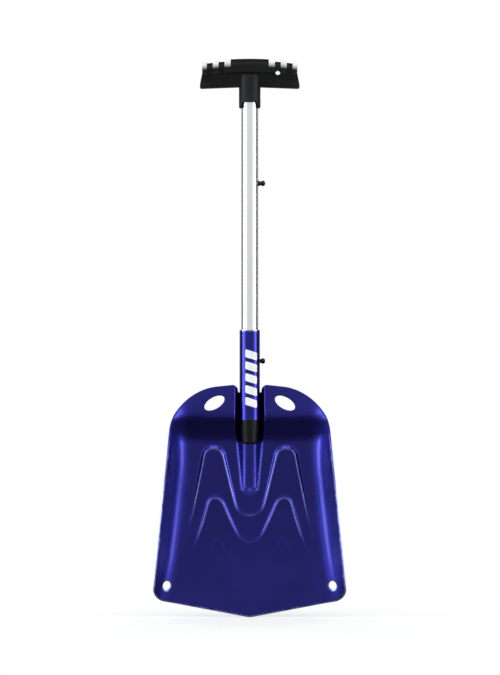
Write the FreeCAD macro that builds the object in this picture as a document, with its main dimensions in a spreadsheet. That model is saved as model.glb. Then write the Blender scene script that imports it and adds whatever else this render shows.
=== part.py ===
import FreeCAD, Part
import math
import os
import Sketcher
from FreeCAD import Placement, Rotation, Vector

# Avalanche shovel: a pressed aluminium scoop with a short sleeve riveted into its trough,
# and a tube with a T-grip that slides in the sleeve and locks with sprung snap pins.
# Millimetres. +Z runs up the shaft, +X is the side that the snap pins come out of, and -Y is
# the hollow side of the scoop. The origin is on the shaft's axis, level with the scoop's tip.

doc = FreeCAD.newDocument("avalanche_shovel")

SIZES = {
    "sheet_thickness": 2.0,
    "sleeve_radius": 14.8,
    "sleeve_bore_radius": 12.55,
    "sleeve_bottom": 288.0,
    "sleeve_top": 418.5,
    "tube_radius": 12.5,
    "tube_bore_radius": 11.0,
    "tube_bottom": 289.0,
    "tube_top": 786.0,
    "plug_bottom": 253.0,
    "lower_pin_height": 373.5,
    "pin_spacing": 257.5,
    "pin_radius": 4.1,
    "pin_hole_radius": 4.18,
    "leaf_width": 8.0,
    "leaf_thickness": 0.8,
    "rivet_radius": 2.4,
    "rivet_hole_radius": 2.45,
    "lower_rivet_height": 298.0,
    "upper_rivet_height": 317.0,
    "oval_major_radius": 16.0,
    "oval_minor_radius": 8.2,
    "corner_hole_radius": 6.65,
    "neck_radius": 15.65,
    "neck_bore_radius": 12.53,
    "neck_bottom": 739.8,
    "neck_top": 788.0,
    "grip_top": 811.7,
    "grip_bottom": 768.3,
    "grip_depth": 26.0,
    "pad_thickness": 2.6,
    "lanyard_hole_radius": 3.4,
    "lanyard_hole_x": 40.7,
    "lanyard_hole_height": 791.0,
    "grip_rivet_height": 757.0,
}

sheet = doc.addObject("Spreadsheet::Sheet", "Sizes")
for row, (alias, value) in enumerate(SIZES.items(), start=1):
    sheet.set(f"A{row}", alias)
    sheet.set(f"B{row}", str(value))
    sheet.setAlias(f"B{row}", alias)
doc.recompute()


def size(alias):
    return float(sheet.get(alias))


def bind(thing, **expressions):
    """Ties properties of a document object to the sheet. Base_z means Placement.Base.z."""
    for name, expression in expressions.items():
        path = f".Placement.Base.{name[-1]}" if name.startswith("Base_") else name
        thing.setExpression(path, expression)


def add(kind, name, **properties):
    thing = doc.addObject(kind, name)
    for key, value in properties.items():
        setattr(thing, key, value)
    return thing


def cut(name, base, tool):
    return add("Part::Cut", name, Base=base, Tool=tool)


def fuse(name, *shapes):
    return add("Part::MultiFuse", name, Shapes=list(shapes))


def common(name, *shapes):
    return add("Part::MultiCommon", name, Shapes=list(shapes))


# ---- outlines -------------------------------------------------------------------------------

UPRIGHT = Rotation(Vector(1, 0, 0), 90)  # lays a sketch in the XZ plane, x to +X and y to +Z
SIDEWAYS = Rotation(Vector(1, 1, 1), 120)  # lays a sketch in the YZ plane, x to +Y and y to +Z


def corner_arc(before, corner, after, radius):
    """The start, middle and end of the arc that rounds a corner of an outline."""
    back = (before - corner).normalize()
    on = (after - corner).normalize()
    half = back.getAngle(on) / 2
    reach = radius / math.tan(half)
    middle = (back + on).normalize() * (radius / math.sin(half) - radius)
    return corner + back * reach, corner + middle, corner + on * reach


def draw_outline(sketch, corners):
    """Draws a closed outline through corners given as (x, y, rounding radius)."""
    points = [Vector(x, y, 0) for x, y, _ in corners]
    starts, ends = [], []
    for index, (_, _, radius) in enumerate(corners):
        before, after = points[index - 1], points[(index + 1) % len(points)]
        if radius == 0:
            starts.append(points[index])
            ends.append(points[index])
            continue
        start, middle, end = corner_arc(before, points[index], after, radius)
        sketch.addGeometry(Part.ArcOfCircle(start, middle, end))
        starts.append(start)
        ends.append(end)
    for index in range(len(points)):
        line = Part.LineSegment(ends[index - 1], starts[index])
        if line.length() > 0.001:
            sketch.addGeometry(line)


def extruded_outline(name, corners, turn, direction, low, high):
    """A solid made by pushing an outline from low to high along a row axis."""
    sketch = add("Sketcher::SketchObject", name + "_outline")
    draw_outline(sketch, corners)
    sketch.Placement = Placement(direction * low, turn)
    solid = add("Part::Extrusion", name, Base=sketch, DirMode="Custom", Dir=direction, Solid=True)
    solid.LengthFwd = high - low
    return solid


def mirrored(corners):
    """Closes a right-hand outline with its mirror image. Points on the middle line stay single."""
    left = [(-x, y, radius) for x, y, radius in reversed(corners) if x > 0]
    return corners + left


# ---- pieces made in bodies ------------------------------------------------------------------


def new_body(label):
    body = doc.addObject("PartDesign::Body", label)
    body.Label = label
    return body


def plane_sketch(body, name, role):
    sketch = body.newObject("Sketcher::SketchObject", name)
    plane = next(feature for feature in body.Origin.OriginFeatures if feature.Role == role)
    sketch.AttachmentSupport = [(plane, "")]
    sketch.MapMode = "FlatFace"
    return sketch


def add_ring(sketch, *aliases):
    """Circles about the sketch's own origin, with their radii from the sheet."""
    for alias in aliases:
        circle = sketch.addGeometry(Part.Circle(Vector(), Vector(0, 0, 1), size(alias)))
        sketch.addConstraint(Sketcher.Constraint("Coincident", circle, 3, -1, 1))
        radius = sketch.addConstraint(Sketcher.Constraint("Radius", circle, size(alias)))
        sketch.setExpression(f"Constraints[{radius}]", f"Sizes.{alias}")


def side_hole(body, name, role, radius_alias, height, reverse=False):
    """Drills one wall of a tube at a height above the body's origin."""
    sketch = plane_sketch(body, name + "_sketch", role)
    radius = size(radius_alias)
    circle = sketch.addGeometry(Part.Circle(Vector(0, 1, 0), Vector(0, 0, 1), radius))
    sketch.addConstraint(Sketcher.Constraint("PointOnObject", circle, 3, -2))
    bore = sketch.addConstraint(Sketcher.Constraint("Radius", circle, radius))
    sketch.setExpression(f"Constraints[{bore}]", f"Sizes.{radius_alias}")
    above = sketch.addConstraint(Sketcher.Constraint("DistanceY", -1, 1, circle, 3, 1))
    sketch.setExpression(f"Constraints[{above}]", height)
    doc.recompute()
    before = body.Shape.Volume
    hole = body.newObject("PartDesign::Pocket", name)
    hole.Profile = sketch
    hole.Length = 2 * size("tube_radius")
    hole.Reversed = reverse
    doc.recompute()
    if body.Shape.Volume > before - 1:
        raise RuntimeError(name + " removed nothing")


def make_tube(label, outer, bore, bottom, top):
    body = new_body(label)
    ring = plane_sketch(body, label + "_ring", "XY_Plane")
    add_ring(ring, outer, bore)
    pad = body.newObject("PartDesign::Pad", label + "_length")
    pad.Profile = ring
    pad.setExpression("Length", f"Sizes.{top} - Sizes.{bottom}")
    bind(body, Base_z=f"Sizes.{bottom}")
    doc.recompute()
    return body


def turned(label, role, axis, corners):
    """A body turned about one of its sketch's axes."""
    body = new_body(label)
    sketch = plane_sketch(body, label + "_profile", role)
    draw_outline(sketch, corners)
    doc.recompute()
    revolution = body.newObject("PartDesign::Revolution", label + "_turned")
    revolution.Profile = sketch
    revolution.ReferenceAxis = (sketch, [axis])
    revolution.Angle = 360
    doc.recompute()
    return body


def make_shaft_tube():
    tube = make_tube("shaft_tube", "tube_radius", "tube_bore_radius", "tube_bottom", "tube_top")
    low = "Sizes.lower_pin_height - Sizes.tube_bottom"
    side_hole(tube, "lower_pin_hole", "YZ_Plane", "pin_hole_radius", low, True)
    side_hole(
        tube, "upper_pin_hole", "YZ_Plane", "pin_hole_radius", low + " + Sizes.pin_spacing", True
    )
    side_hole(
        tube,
        "grip_rivet_hole",
        "XZ_Plane",
        "rivet_hole_radius",
        "Sizes.grip_rivet_height - Sizes.tube_bottom",
    )
    return tube


def make_sleeve():
    """The sleeve, with its pin hole and two countersunk rivet holes at the back."""
    tube = make_tube("sleeve_tube", "sleeve_radius", "sleeve_bore_radius", "sleeve_bottom", "sleeve_top")
    height = "Sizes.lower_pin_height - Sizes.sleeve_bottom"
    side_hole(tube, "sleeve_pin_hole", "YZ_Plane", "pin_hole_radius", height, True)
    for place in ("lower", "upper"):
        height = f"Sizes.{place}_rivet_height - Sizes.sleeve_bottom"
        side_hole(tube, f"sleeve_{place}_rivet_hole", "XZ_Plane", "rivet_hole_radius", height)
    sinks = [rivet_head_cone(place, 0.05) for place in ("lower", "upper")]
    return cut("lower_sleeve", tube, fuse("countersinks", *sinks))


# ---- rivets ---------------------------------------------------------------------------------

HEAD_FACE = 12.75  # distance of the countersunk head's face behind the shaft's axis
HEAD_CONE = 1.4
TROUGH_FRONT = 14.9
RIVET_GAP = 0.05
DOME_RADIUS = 4.3
DOME_HEIGHT = 2.2

TO_BACK = Rotation(Vector(1, 0, 0), -90)  # turns a primitive's own axis to +Y


def rivet_head_cone(place, extra):
    """The cone of one countersunk head. A cutter takes a little extra all round."""
    cone = add("Part::Cone", f"{place}_head_cone", Height=HEAD_CONE)
    cone.setExpression("Radius1", f"Sizes.rivet_radius + {HEAD_CONE + extra}")
    cone.setExpression("Radius2", f"Sizes.rivet_radius + {extra}")
    cone.Placement = Placement(Vector(0, HEAD_FACE, 0), TO_BACK)
    bind(cone, Base_z=f"Sizes.{place}_rivet_height")
    if extra:
        mouth = add("Part::Cylinder", f"{place}_head_mouth", Height=1.5)
        mouth.setExpression("Radius", f"Sizes.rivet_radius + {HEAD_CONE + extra}")
        mouth.Placement = Placement(Vector(0, HEAD_FACE - 1.5, 0), TO_BACK)
        bind(mouth, Base_z=f"Sizes.{place}_rivet_height")
        return fuse(f"{place}_countersink", cone, mouth)
    return cone


def domed_head(name, radius, height, face, height_expression):
    """A low dome that sits on a face looking along +Y."""
    ball_radius = (radius**2 + height**2) / (2 * height)
    lowest = math.degrees(math.asin((ball_radius - height) / ball_radius))
    dome = add("Part::Sphere", name, Radius=ball_radius, Angle1=lowest, Angle2=90)
    dome.Placement = Placement(Vector(0, face - (ball_radius - height), 0), TO_BACK)
    bind(dome, Base_z=height_expression)
    return dome


def make_sleeve_rivets():
    """Two rivets through the sleeve's back wall and the trough, domed behind."""
    rivets = []
    back = TROUGH_FRONT + size("sheet_thickness") + RIVET_GAP
    for place in ("lower", "upper"):
        shank = add("Part::Cylinder", f"{place}_rivet_shank", Height=back - HEAD_FACE + 0.2)
        shank.Placement = Placement(Vector(0, HEAD_FACE, 0), TO_BACK)
        bind(shank, Radius="Sizes.rivet_radius", Base_z=f"Sizes.{place}_rivet_height")
        height = f"Sizes.{place}_rivet_height"
        dome = domed_head(f"{place}_rivet_dome", DOME_RADIUS, DOME_HEIGHT, back, height)
        rivets.append(fuse(f"{place}_rivet", rivet_head_cone(place, 0), shank, dome))
    return add("Part::Compound", "sleeve_rivets", Links=rivets)


def make_grip_rivet():
    """One blind rivet that holds the grip's neck to the tube, at the back."""
    height = "Sizes.grip_rivet_height"
    start = size("tube_bore_radius") - 1.5
    face = size("neck_radius")
    shank = add("Part::Cylinder", "grip_rivet_shank", Height=face - start + 0.2)
    shank.Placement = Placement(Vector(0, start, 0), TO_BACK)
    bind(shank, Radius="Sizes.rivet_radius", Base_z=height)
    dome = domed_head("grip_rivet_dome", DOME_RADIUS, DOME_HEIGHT, face, height)
    tail = add("Part::Sphere", "grip_rivet_tail", Radius=3.0)
    tail.Placement = Placement(Vector(0, start - 1.0, 0), Rotation())
    bind(tail, Base_z=height)
    return fuse("grip_rivet", shank, dome, tail)


# ---- snap pins and their springs ------------------------------------------------------------

PIN_BASE = 9.0
PIN_TIP = 22.5
COLLAR_END = 13.9
WAIST_START = 14.9
WAIST_END = 16.6
HEAD_START = 17.7
WAIST_DEPTH = 1.1

LEAF_FAR = -10.1  # the outer face of the leg that lies on the tube's far wall
LEAF_BEND = 3.0
LEAF_BEND_DROP = -44.0  # the bend hangs this far below the pin
LEAF_FAR_TOP = 14.0
LEAF_KNEE = -9.0
LEAF_NEAR_TOP = 7.0


def make_snap_pin(label, height):
    """A pin with a guide collar, a slimmer waist and a round head, turned about the X axis."""
    radius = size("pin_radius")
    waist = radius - WAIST_DEPTH
    corners = [
        (PIN_BASE, 0, 0),
        (PIN_BASE, radius, 0.4),
        (COLLAR_END, radius, 0.3),
        (WAIST_START, waist, 0.5),
        (WAIST_END, waist, 0.5),
        (HEAD_START, radius, 0.8),
        (PIN_TIP, radius - 0.2, 3.2),
        (PIN_TIP, 0, 0),
    ]
    pin = turned(label, "XZ_Plane", "H_Axis", corners)
    bind(pin, Base_z=height)
    return pin


def make_leaf_spring(label, height):
    """A V of flat spring steel: the long leg lies on the tube's far wall, the other on the pin."""
    near = PIN_BASE - 0.02
    path = add("Sketcher::SketchObject", label + "_path")
    far_end = Vector(LEAF_FAR, LEAF_FAR_TOP, 0)
    far_bend = Vector(LEAF_FAR, LEAF_BEND_DROP, 0)
    bend_top = Vector(LEAF_FAR + LEAF_BEND, LEAF_BEND_DROP - LEAF_BEND, 0)
    near_start = Vector(LEAF_FAR + 2 * LEAF_BEND, LEAF_BEND_DROP, 0)
    near_knee = Vector(near, LEAF_KNEE, 0)
    near_end = Vector(near, LEAF_NEAR_TOP, 0)
    path.addGeometry(Part.LineSegment(far_end, far_bend))
    path.addGeometry(Part.ArcOfCircle(far_bend, bend_top, near_start))
    path.addGeometry(Part.LineSegment(near_start, near_knee))
    path.addGeometry(Part.LineSegment(near_knee, near_end))
    path.Placement = Placement(Vector(), UPRIGHT)
    doc.recompute()
    strip = add("Part::Offset2D", label + "_strip", Source=path, Mode="Skin", Join="Arc")
    strip.Fill = True
    bind(strip, Value="Sizes.leaf_thickness")
    leaf = add("Part::Extrusion", label, Base=strip, DirMode="Custom", Dir=Vector(0, 1, 0))
    leaf.Solid = True
    leaf.Symmetric = True
    bind(leaf, LengthFwd="Sizes.leaf_width", Base_z=height)
    return leaf


PLUG_GAP = 0.05
NOSE_HEIGHT = 24.0
NOSE_TAPER = 1.8
SHANK_LENGTH = 24.0
PLUG_WALL = 2.2
PLUG_DRAFT = 0.4
PLUG_FLOOR = 8.0


def make_end_plug():
    """The moulded plug in the tube's lower end: a tapered nose, and a hollow shank above it."""
    shoulder = size("tube_bottom") - PLUG_GAP - size("plug_bottom")
    outer = size("tube_radius") - PLUG_GAP
    shank = size("tube_bore_radius") - PLUG_GAP
    top = shoulder + SHANK_LENGTH
    corners = [
        (0, 0, 0),
        (outer - NOSE_TAPER, 0, 3.5),
        (outer, NOSE_HEIGHT, 6),
        (outer, shoulder, 0.4),
        (shank, shoulder, 0),
        (shank, top, 1.0),
        (shank - PLUG_WALL, top, 0.5),
        (shank - PLUG_WALL - PLUG_DRAFT, PLUG_FLOOR, 2.0),
        (0, PLUG_FLOOR, 0),
    ]
    plug = turned("shaft_end_plug", "XZ_Plane", "V_Axis", corners)
    bind(plug, Base_z="Sizes.plug_bottom")
    return plug


# ---- grip -----------------------------------------------------------------------------------

GRIP_ARCH = 454.0  # the bar bends down towards its ends on this radius
GRIP_SWEEP = 22.0
RIBS = [(27.5, 36.5), (45.0, 53.5), (62.0, 75.0)]
INNER_GROOVE = (36.5, 45.0, 785.9)
OUTER_GROOVE = (53.5, 62.0, 779.4)
LEDGE = 791.6  # where the bar steps in, below the fingers' side
LEDGE_STEP = 1.6
BAR_FOOT = 764.0
BAR_TAPER = 4.8
BAR_CROWN = 12.0  # rounding of the bar's top
BAR_HALF_LENGTH = 72.6
BAR_PINCH = (68.6, 790.5)
BAR_SHOULDER = (69.6, 805.5)
BAR_END_ROUNDING = 8.0
NECK_CHAMFER = (1.2, 1.6)  # at the neck's lower end: how far it steps in, and its height
CROWN_CHAMFER = 0.4
NOTCH_HALF_WIDTH = 11.3
NOTCH_HEIGHT = 8.2


def bar_section(inset):
    """Half of the bar's cross-section, back side, as corners in Y and Z."""
    deep = size("grip_depth") / 2 - inset
    top = size("grip_top") - inset
    ledge = [(deep, LEDGE, 0)]
    if inset == 0:
        ledge = [(deep, LEDGE, 0), (deep - LEDGE_STEP, LEDGE - LEDGE_STEP, 0)]
    return [
        (0, top, 0),
        (deep - 0.6, top - 0.4, BAR_CROWN - inset),
        *ledge,
        (deep - BAR_TAPER, BAR_FOOT, 3.0),
        (0, BAR_FOOT, 0),
    ]


def bar_front(inset):
    """Half of the bar's front view, right-hand side, as corners in X and Z."""
    top = size("grip_top") + 2
    bottom = size("grip_bottom")
    pinch, shoulder = BAR_PINCH, BAR_SHOULDER
    return [
        (0, bottom + 2.7, 0),
        (BAR_HALF_LENGTH - inset, bottom, 2.5),
        (BAR_HALF_LENGTH - 1.0 - inset, bottom + 8, 6),
        (pinch[0] - inset, pinch[1], 12),
        (shoulder[0] - inset, shoulder[1] - inset, 2.5),
        (shoulder[0] - 5.6, top, 0),
        (0, top, 0),
    ]


def make_bar(name, inset):
    """The bar: its section swept along a shallow arch, then trimmed to its front view."""
    section = add("Sketcher::SketchObject", name + "_section")
    draw_outline(section, mirrored(bar_section(inset)))
    section.Placement = Placement(Vector(), SIDEWAYS)
    swept = add("Part::Revolution", name + "_swept", Source=section, Axis=Vector(0, 1, 0), Solid=True)
    swept.Base = Vector(0, 0, size("grip_top") - GRIP_ARCH)
    swept.Angle = GRIP_SWEEP
    swept.Symmetric = True
    outline = mirrored(bar_front(inset))
    front = extruded_outline(name + "_front", outline, UPRIGHT, Vector(0, 1, 0), -30, 30)
    half = BAR_HALF_LENGTH + 1.4 - inset
    deep = size("grip_depth") / 2 - inset + 0.5
    plan = mirrored([(half, -deep, BAR_END_ROUNDING), (half, deep, BAR_END_ROUNDING)])
    ends = extruded_outline(name + "_plan", plan, Rotation(), Vector(0, 0, 1), 750, 830)
    return common(name, swept, front, ends)


def band(name, start, end, bottom):
    """A block on each side of the middle that spans one rib or groove."""
    blocks = []
    for side, low in (("right", start), ("left", -end)):
        block = add("Part::Box", f"{name}_{side}", Length=end - start, Width=80, Height=840 - bottom)
        block.Placement = Placement(Vector(low, -40, bottom), Rotation())
        blocks.append(block)
    return blocks


def make_neck():
    """The socket's round outside, chamfered at both ends. It stands proud of the bar."""
    step, rise = NECK_CHAMFER
    full = "Sizes.neck_radius"
    foot = add("Part::Cone", "neck_foot", Height=rise)
    bind(foot, Radius1=f"{full} - {step}", Radius2=full, Base_z="Sizes.neck_bottom")
    crown = add("Part::Cone", "neck_crown", Height=CROWN_CHAMFER)
    bind(crown, Radius1=full, Radius2=f"{full} - {CROWN_CHAMFER}")
    bind(crown, Base_z=f"Sizes.neck_top - {CROWN_CHAMFER}")
    barrel = add("Part::Cylinder", "neck_barrel")
    bind(barrel, Radius=full, Base_z=f"Sizes.neck_bottom + {rise}")
    bind(barrel, Height=f"Sizes.neck_top - Sizes.neck_bottom - {rise + CROWN_CHAMFER}")
    return fuse("neck", foot, barrel, crown)


def make_grip():
    """The T-grip's body and the ribbed pads let into the top of its bar."""
    outer = make_bar("bar_outside", 0)
    core = make_bar("bar_core", size("pad_thickness"))
    rib_blocks = []
    for number, (start, end) in enumerate(RIBS, start=1):
        rib_blocks += band(f"rib_{number}", start, end, LEDGE)
    groove_blocks = band("inner_groove", *INNER_GROOVE) + band("outer_groove", *OUTER_GROOVE)

    rind = cut("bar_rind", outer, core)
    ribs = common("grip_ribs", rind, fuse("rib_space", *rib_blocks))
    plain = cut("bar_plain", outer, fuse("pad_space", *rib_blocks, *groove_blocks))

    neck = make_neck()
    bore = add("Part::Cylinder", "neck_bore")
    bind(bore, Radius="Sizes.neck_bore_radius", Height="Sizes.tube_top + 0.2 - Sizes.neck_bottom")
    bind(bore, Base_z="Sizes.neck_bottom")
    bottom = size("neck_bottom")
    arch = [(NOTCH_HALF_WIDTH, bottom - 5, 0), (NOTCH_HALF_WIDTH, bottom + NOTCH_HEIGHT, 2.4)]
    arch = mirrored(arch)
    notch = extruded_outline("neck_notch", arch, UPRIGHT, Vector(0, 1, 0), -25, -5)
    lanyard = add("Part::Cylinder", "lanyard_bore", Height=80)
    lanyard.Placement = Placement(Vector(0, -40, 0), TO_BACK)
    bind(lanyard, Radius="Sizes.lanyard_hole_radius")
    bind(lanyard, Base_x="Sizes.lanyard_hole_x", Base_z="Sizes.lanyard_hole_height")
    rivet = add("Part::Cylinder", "neck_rivet_bore", Height=20)
    rivet.Placement = Placement(Vector(), TO_BACK)
    bind(rivet, Radius="Sizes.rivet_hole_radius", Base_z="Sizes.grip_rivet_height")

    whole = fuse("grip_whole", core, plain, neck)
    body = cut("grip_body", whole, fuse("grip_holes", bore, notch, lanyard, rivet))
    return body, ribs


# ---- scoop ----------------------------------------------------------------------------------

SIDE_TOP = (113.1, 293.1)  # where the straight side would meet the shoulder's slope
SIDE_FOOT = (140.95, 26.1)  # where it would meet the cutting edge
SHOULDER = (77.5, 333.6)  # where the shoulder's slope would meet the top edge

# Bends of the long profile: the height of each, the width it is spread over and how much it
# changes the slope.
FLOOR_DEPTH = 23.0
FLOOR_BENDS = [(150, 200, -0.18), (262, 16, -0.295), (294, 16, 0.53)]

SEAT_RADIUS = 14.9  # the trough's bottom hugs the sleeve
SEAT_BENDS = [(10, 20, 0.12), (40, 20, -0.07)]  # measured down from the sleeve's lower end
SEAT_END = 190.0  # where it turns up to meet the floor
SEAT_END_BEND = (4, 0.6)
TROUGH_STEEPEST = (46, 66)  # degrees: low down, and beside the sleeve
TROUGH_CHANGE = (250, 300)
RIM_BLEND = 3.0

WALL_SLOPE = 1.3
WALL_START = 25.0  # distance from the edge at which a sharp bend would start the wall
WALL_BEND = 30.0
WALL_NARROWING = (8, 40)  # how much nearer the edge it starts at the foot, and over what height
WALL_RISE = (15, 35)
CORNER_BLEND = 13.0
SHOULDER_FADE = (-60, 65)  # where the wall dies away, along the shoulder's slope

# Pressed panels, right-hand half: one M inside another, and a faint peak below them. Each has
# lines through its legs, then the step round it and the heights over which the step fades in.
LEG_BLEND = 14.0  # rounding where the legs meet their arches
PANELS = [
    {
        "outer_leg": ((98, 92), (72, 236)),
        "inner_leg": ((33, 237), (17, 165)),
        "arch_top": 253,
        "valley": 153,
        "step": 5.0,
        "steepest": 50,
        "bend_radius": 3.5,
        "fades_in": (80, 240),
    },
    {
        "outer_leg": ((83.5, 100), (62, 178)),
        "inner_leg": ((34, 167), (14, 121)),
        "arch_top": 182,
        "valley": 111,
        "step": 3.0,
        "steepest": 40,
        "bend_radius": 3.5,
        "fades_in": (75, 150),
    },
    {
        "outer_leg": ((66, 87), (51, 121)),
        "inner_leg": ((44, 121), (25, 79)),
        "arch_top": 126,
        "valley": 30,
        "step": 0.8,
        "steepest": 15,
        "bend_radius": 8.0,
        "fades_in": (68, 112),
    },
]

SCOOP_OUTLINE = [
    (0, -0.4, 22),
    (*SIDE_FOOT, 19.6),
    (*SIDE_TOP, 62),
    (*SHOULDER, 78),
    (16.5, 339.9, 8.5),
    (16.5, 328.0, 1.5),
]

OVAL_SPOT = (51.0, 312.7)
OVAL_TILT = 30
CORNER_HOLE_SPOT = (120.4, 46.6)

# The rectangle on which the pressed surfaces are sampled: low end, high end, number of points.
GRID_ACROSS = (-146, 146, 117)
GRID_ALONG = (-8, 350, 119)


def soft_bend(at, centre, width):
    """0 before a bend and the distance past it after, with the bend spread over a width."""
    into = at - centre + width / 2
    if into <= 0:
        return 0.0
    if into >= width:
        return at - centre
    return into**2 / (2 * width)


def fade(at, start, end):
    """Goes smoothly from 0 at start to 1 at end."""
    share = min(max((at - start) / (end - start), 0.0), 1.0)
    return share * share * (3 - 2 * share)


def pressed_step(inside, height, steepest, radius):
    """The rise of a step pressed into the sheet, with both its bends on the same radius."""
    if inside <= 0 or height <= 0:
        return 0.0
    angle = math.radians(steepest)
    if height < 2 * radius * (1 - math.cos(angle)):
        angle = math.acos(1 - height / (2 * radius))
    run = radius * math.sin(angle)
    rise = radius * (1 - math.cos(angle))
    slope = (height - 2 * rise) / math.tan(angle)
    left = 2 * run + slope - inside
    if left <= 0:
        return height
    if inside < run:
        return radius - math.sqrt(radius**2 - inside**2)
    if left < run:
        return height - radius + math.sqrt(radius**2 - left**2)
    return rise + (inside - run) * math.tan(angle)


def soft_min(first, second, radius):
    """The smaller of two distances, rounded where they are nearly equal."""
    blend = max(radius - abs(first - second), 0.0) / radius
    return min(first, second) - blend * blend * radius / 4


def left_of_line(x, z, start, end):
    """The signed distance of a point from a line, positive to the left of its direction."""
    along_x, along_z = end[0] - start[0], end[1] - start[1]
    return (along_x * (z - start[1]) - along_z * (x - start[0])) / math.hypot(along_x, along_z)


def floor_depth(z):
    """The scoop's long profile: flange, rear wall, then a floor that levels out to the tip."""
    return FLOOR_DEPTH + sum(turn * soft_bend(z, at, width) for at, width, turn in FLOOR_BENDS)


def trough_depth(x, z):
    """The channel that holds the sleeve and lets the shaft slide down, below the floor."""
    x = abs(x)
    low, high = TROUGH_STEEPEST
    steepest = math.radians(low + (high - low) * fade(z, *TROUGH_CHANGE))
    tangent = SEAT_RADIUS * math.sin(steepest)
    rise = SEAT_RADIUS - math.sqrt(SEAT_RADIUS**2 - min(x, tangent) ** 2)
    rise += max(x - tangent, 0.0) * math.tan(steepest)
    below = SIZES["sleeve_bottom"] - z
    bottom = TROUGH_FRONT + sum(turn * soft_bend(below, at, width) for at, width, turn in SEAT_BENDS)
    end_width, end_turn = SEAT_END_BEND
    bottom -= end_turn * soft_bend(SEAT_END - z, 0, end_width)
    return -soft_min(0.0, floor_depth(z) - bottom + rise, RIM_BLEND)


def wall_height(x, z):
    """The side walls, which bend up near the edge and follow it round the shoulders."""
    x = abs(x)
    side = left_of_line(x, z, SIDE_FOOT, SIDE_TOP)
    shoulder = left_of_line(x, z, SIDE_TOP, SHOULDER)
    from_edge = soft_min(side, shoulder, CORNER_BLEND)
    low = max(z, 0)
    nearer, over = WALL_NARROWING
    start = WALL_START - nearer * math.exp(-low / over)
    lead, length = WALL_RISE
    rise = 1 - math.exp(-(low + lead) / length)
    slope_x, slope_z = SHOULDER[0] - SIDE_TOP[0], SHOULDER[1] - SIDE_TOP[1]
    along = ((x - SIDE_TOP[0]) * slope_x + (z - SIDE_TOP[1]) * slope_z) / math.hypot(slope_x, slope_z)
    steepness = WALL_SLOPE * rise * (1 - fade(along, *SHOULDER_FADE))
    return steepness * soft_bend(start - from_edge, 0, WALL_BEND)


def panel_distance(x, z, panel):
    """How far a point lies inside an M-shaped panel."""
    x = abs(x)
    inner = -left_of_line(x, z, *panel["inner_leg"])
    inside_inner = -soft_min(inner, z - panel["valley"], LEG_BLEND)
    inside_legs = soft_min(left_of_line(x, z, *panel["outer_leg"]), inside_inner, LEG_BLEND)
    return soft_min(inside_legs, panel["arch_top"] - z, LEG_BLEND)


def panel_height(x, z):
    """How far the panels' steps lift the sheet towards the front."""
    height = 0.0
    for panel in PANELS:
        step = panel["step"] * fade(z, *panel["fades_in"])
        inside = panel_distance(x, z, panel)
        height += pressed_step(inside, step, panel["steepest"], panel["bend_radius"])
    return height


def front_point(x, z):
    depth = floor_depth(z) + trough_depth(x, z) - wall_height(x, z) - panel_height(x, z)
    return Vector(x, depth, z)


def scoop_normal(x, z):
    """The sheet's normal, pointing back."""
    step = 0.05
    across = front_point(x + step, z) - front_point(x - step, z)
    along = front_point(x, z + step) - front_point(x, z - step)
    return along.cross(across).normalize()


def evenly(low, high, count):
    return [low + (high - low) * step / (count - 1) for step in range(count)]


def pressed_sheet():
    """A rectangle of sheet pressed to the scoop's relief, larger than the scoop all round."""
    columns = evenly(*GRID_ACROSS)
    rows = evenly(*GRID_ALONG)
    thickness = size("sheet_thickness")
    sides = []
    for offset in (0, thickness):
        surface = Part.BSplineSurface()
        surface.interpolate(
            [[front_point(x, z) + scoop_normal(x, z) * offset for z in rows] for x in columns]
        )
        sides.append(surface.toShape())
    faces = list(sides)
    for edge in sides[0].Edges:
        middle = edge.CenterOfMass
        facing = min(sides[1].Edges, key=lambda other: (other.CenterOfMass - middle).Length)
        faces.append(Part.makeRuledSurface(edge, facing))
    skin = Part.makeCompound(faces)
    skin.sewShape()
    solid = Part.Solid(skin.Shells[0])
    if solid.Volume < 0:
        solid.reverse()
    return solid


def make_scoop():
    sheet_block = add("Part::Feature", "pressed_sheet", Shape=pressed_sheet())
    outline = mirrored(SCOOP_OUTLINE)
    blank = extruded_outline("scoop_blank", outline, UPRIGHT, Vector(0, 1, 0), -70, 60)
    trimmed = common("scoop_trimmed", sheet_block, blank)
    cutters = []
    for side in (1, -1):
        oval = add("Part::Ellipse", "oval")
        bind(oval, MajorRadius="Sizes.oval_major_radius", MinorRadius="Sizes.oval_minor_radius")
        tilt = Rotation(Vector(0, 1, 0), side * OVAL_TILT)
        oval.Placement = Placement(Vector(side * OVAL_SPOT[0], -60, OVAL_SPOT[1]), tilt * UPRIGHT)
        slot = add("Part::Extrusion", "oval_hole", Base=oval, DirMode="Custom", Dir=Vector(0, 1, 0))
        slot.LengthFwd = 100
        slot.Solid = True
        cutters.append(slot)
        across, height = CORNER_HOLE_SPOT
        spot = front_point(side * across, height)
        normal = scoop_normal(side * across, height)
        hole = add("Part::Cylinder", "corner_hole", Height=20)
        hole.Placement = Placement(spot - normal * 10, Rotation(Vector(0, 0, 1), normal))
        bind(hole, Radius="Sizes.corner_hole_radius")
        cutters.append(hole)
    for place in ("lower", "upper"):
        hole = add("Part::Cylinder", f"trough_{place}_rivet_hole", Height=20)
        hole.Placement = Placement(Vector(0, 8, 0), TO_BACK)
        bind(hole, Radius="Sizes.rivet_hole_radius", Base_z=f"Sizes.{place}_rivet_height")
        cutters.append(hole)
    return cut("scoop_blade", trimmed, fuse("scoop_holes", *cutters))


# ---- the shovel -----------------------------------------------------------------------------

LOWER = "Sizes.lower_pin_height"
UPPER = "Sizes.lower_pin_height + Sizes.pin_spacing"

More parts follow.
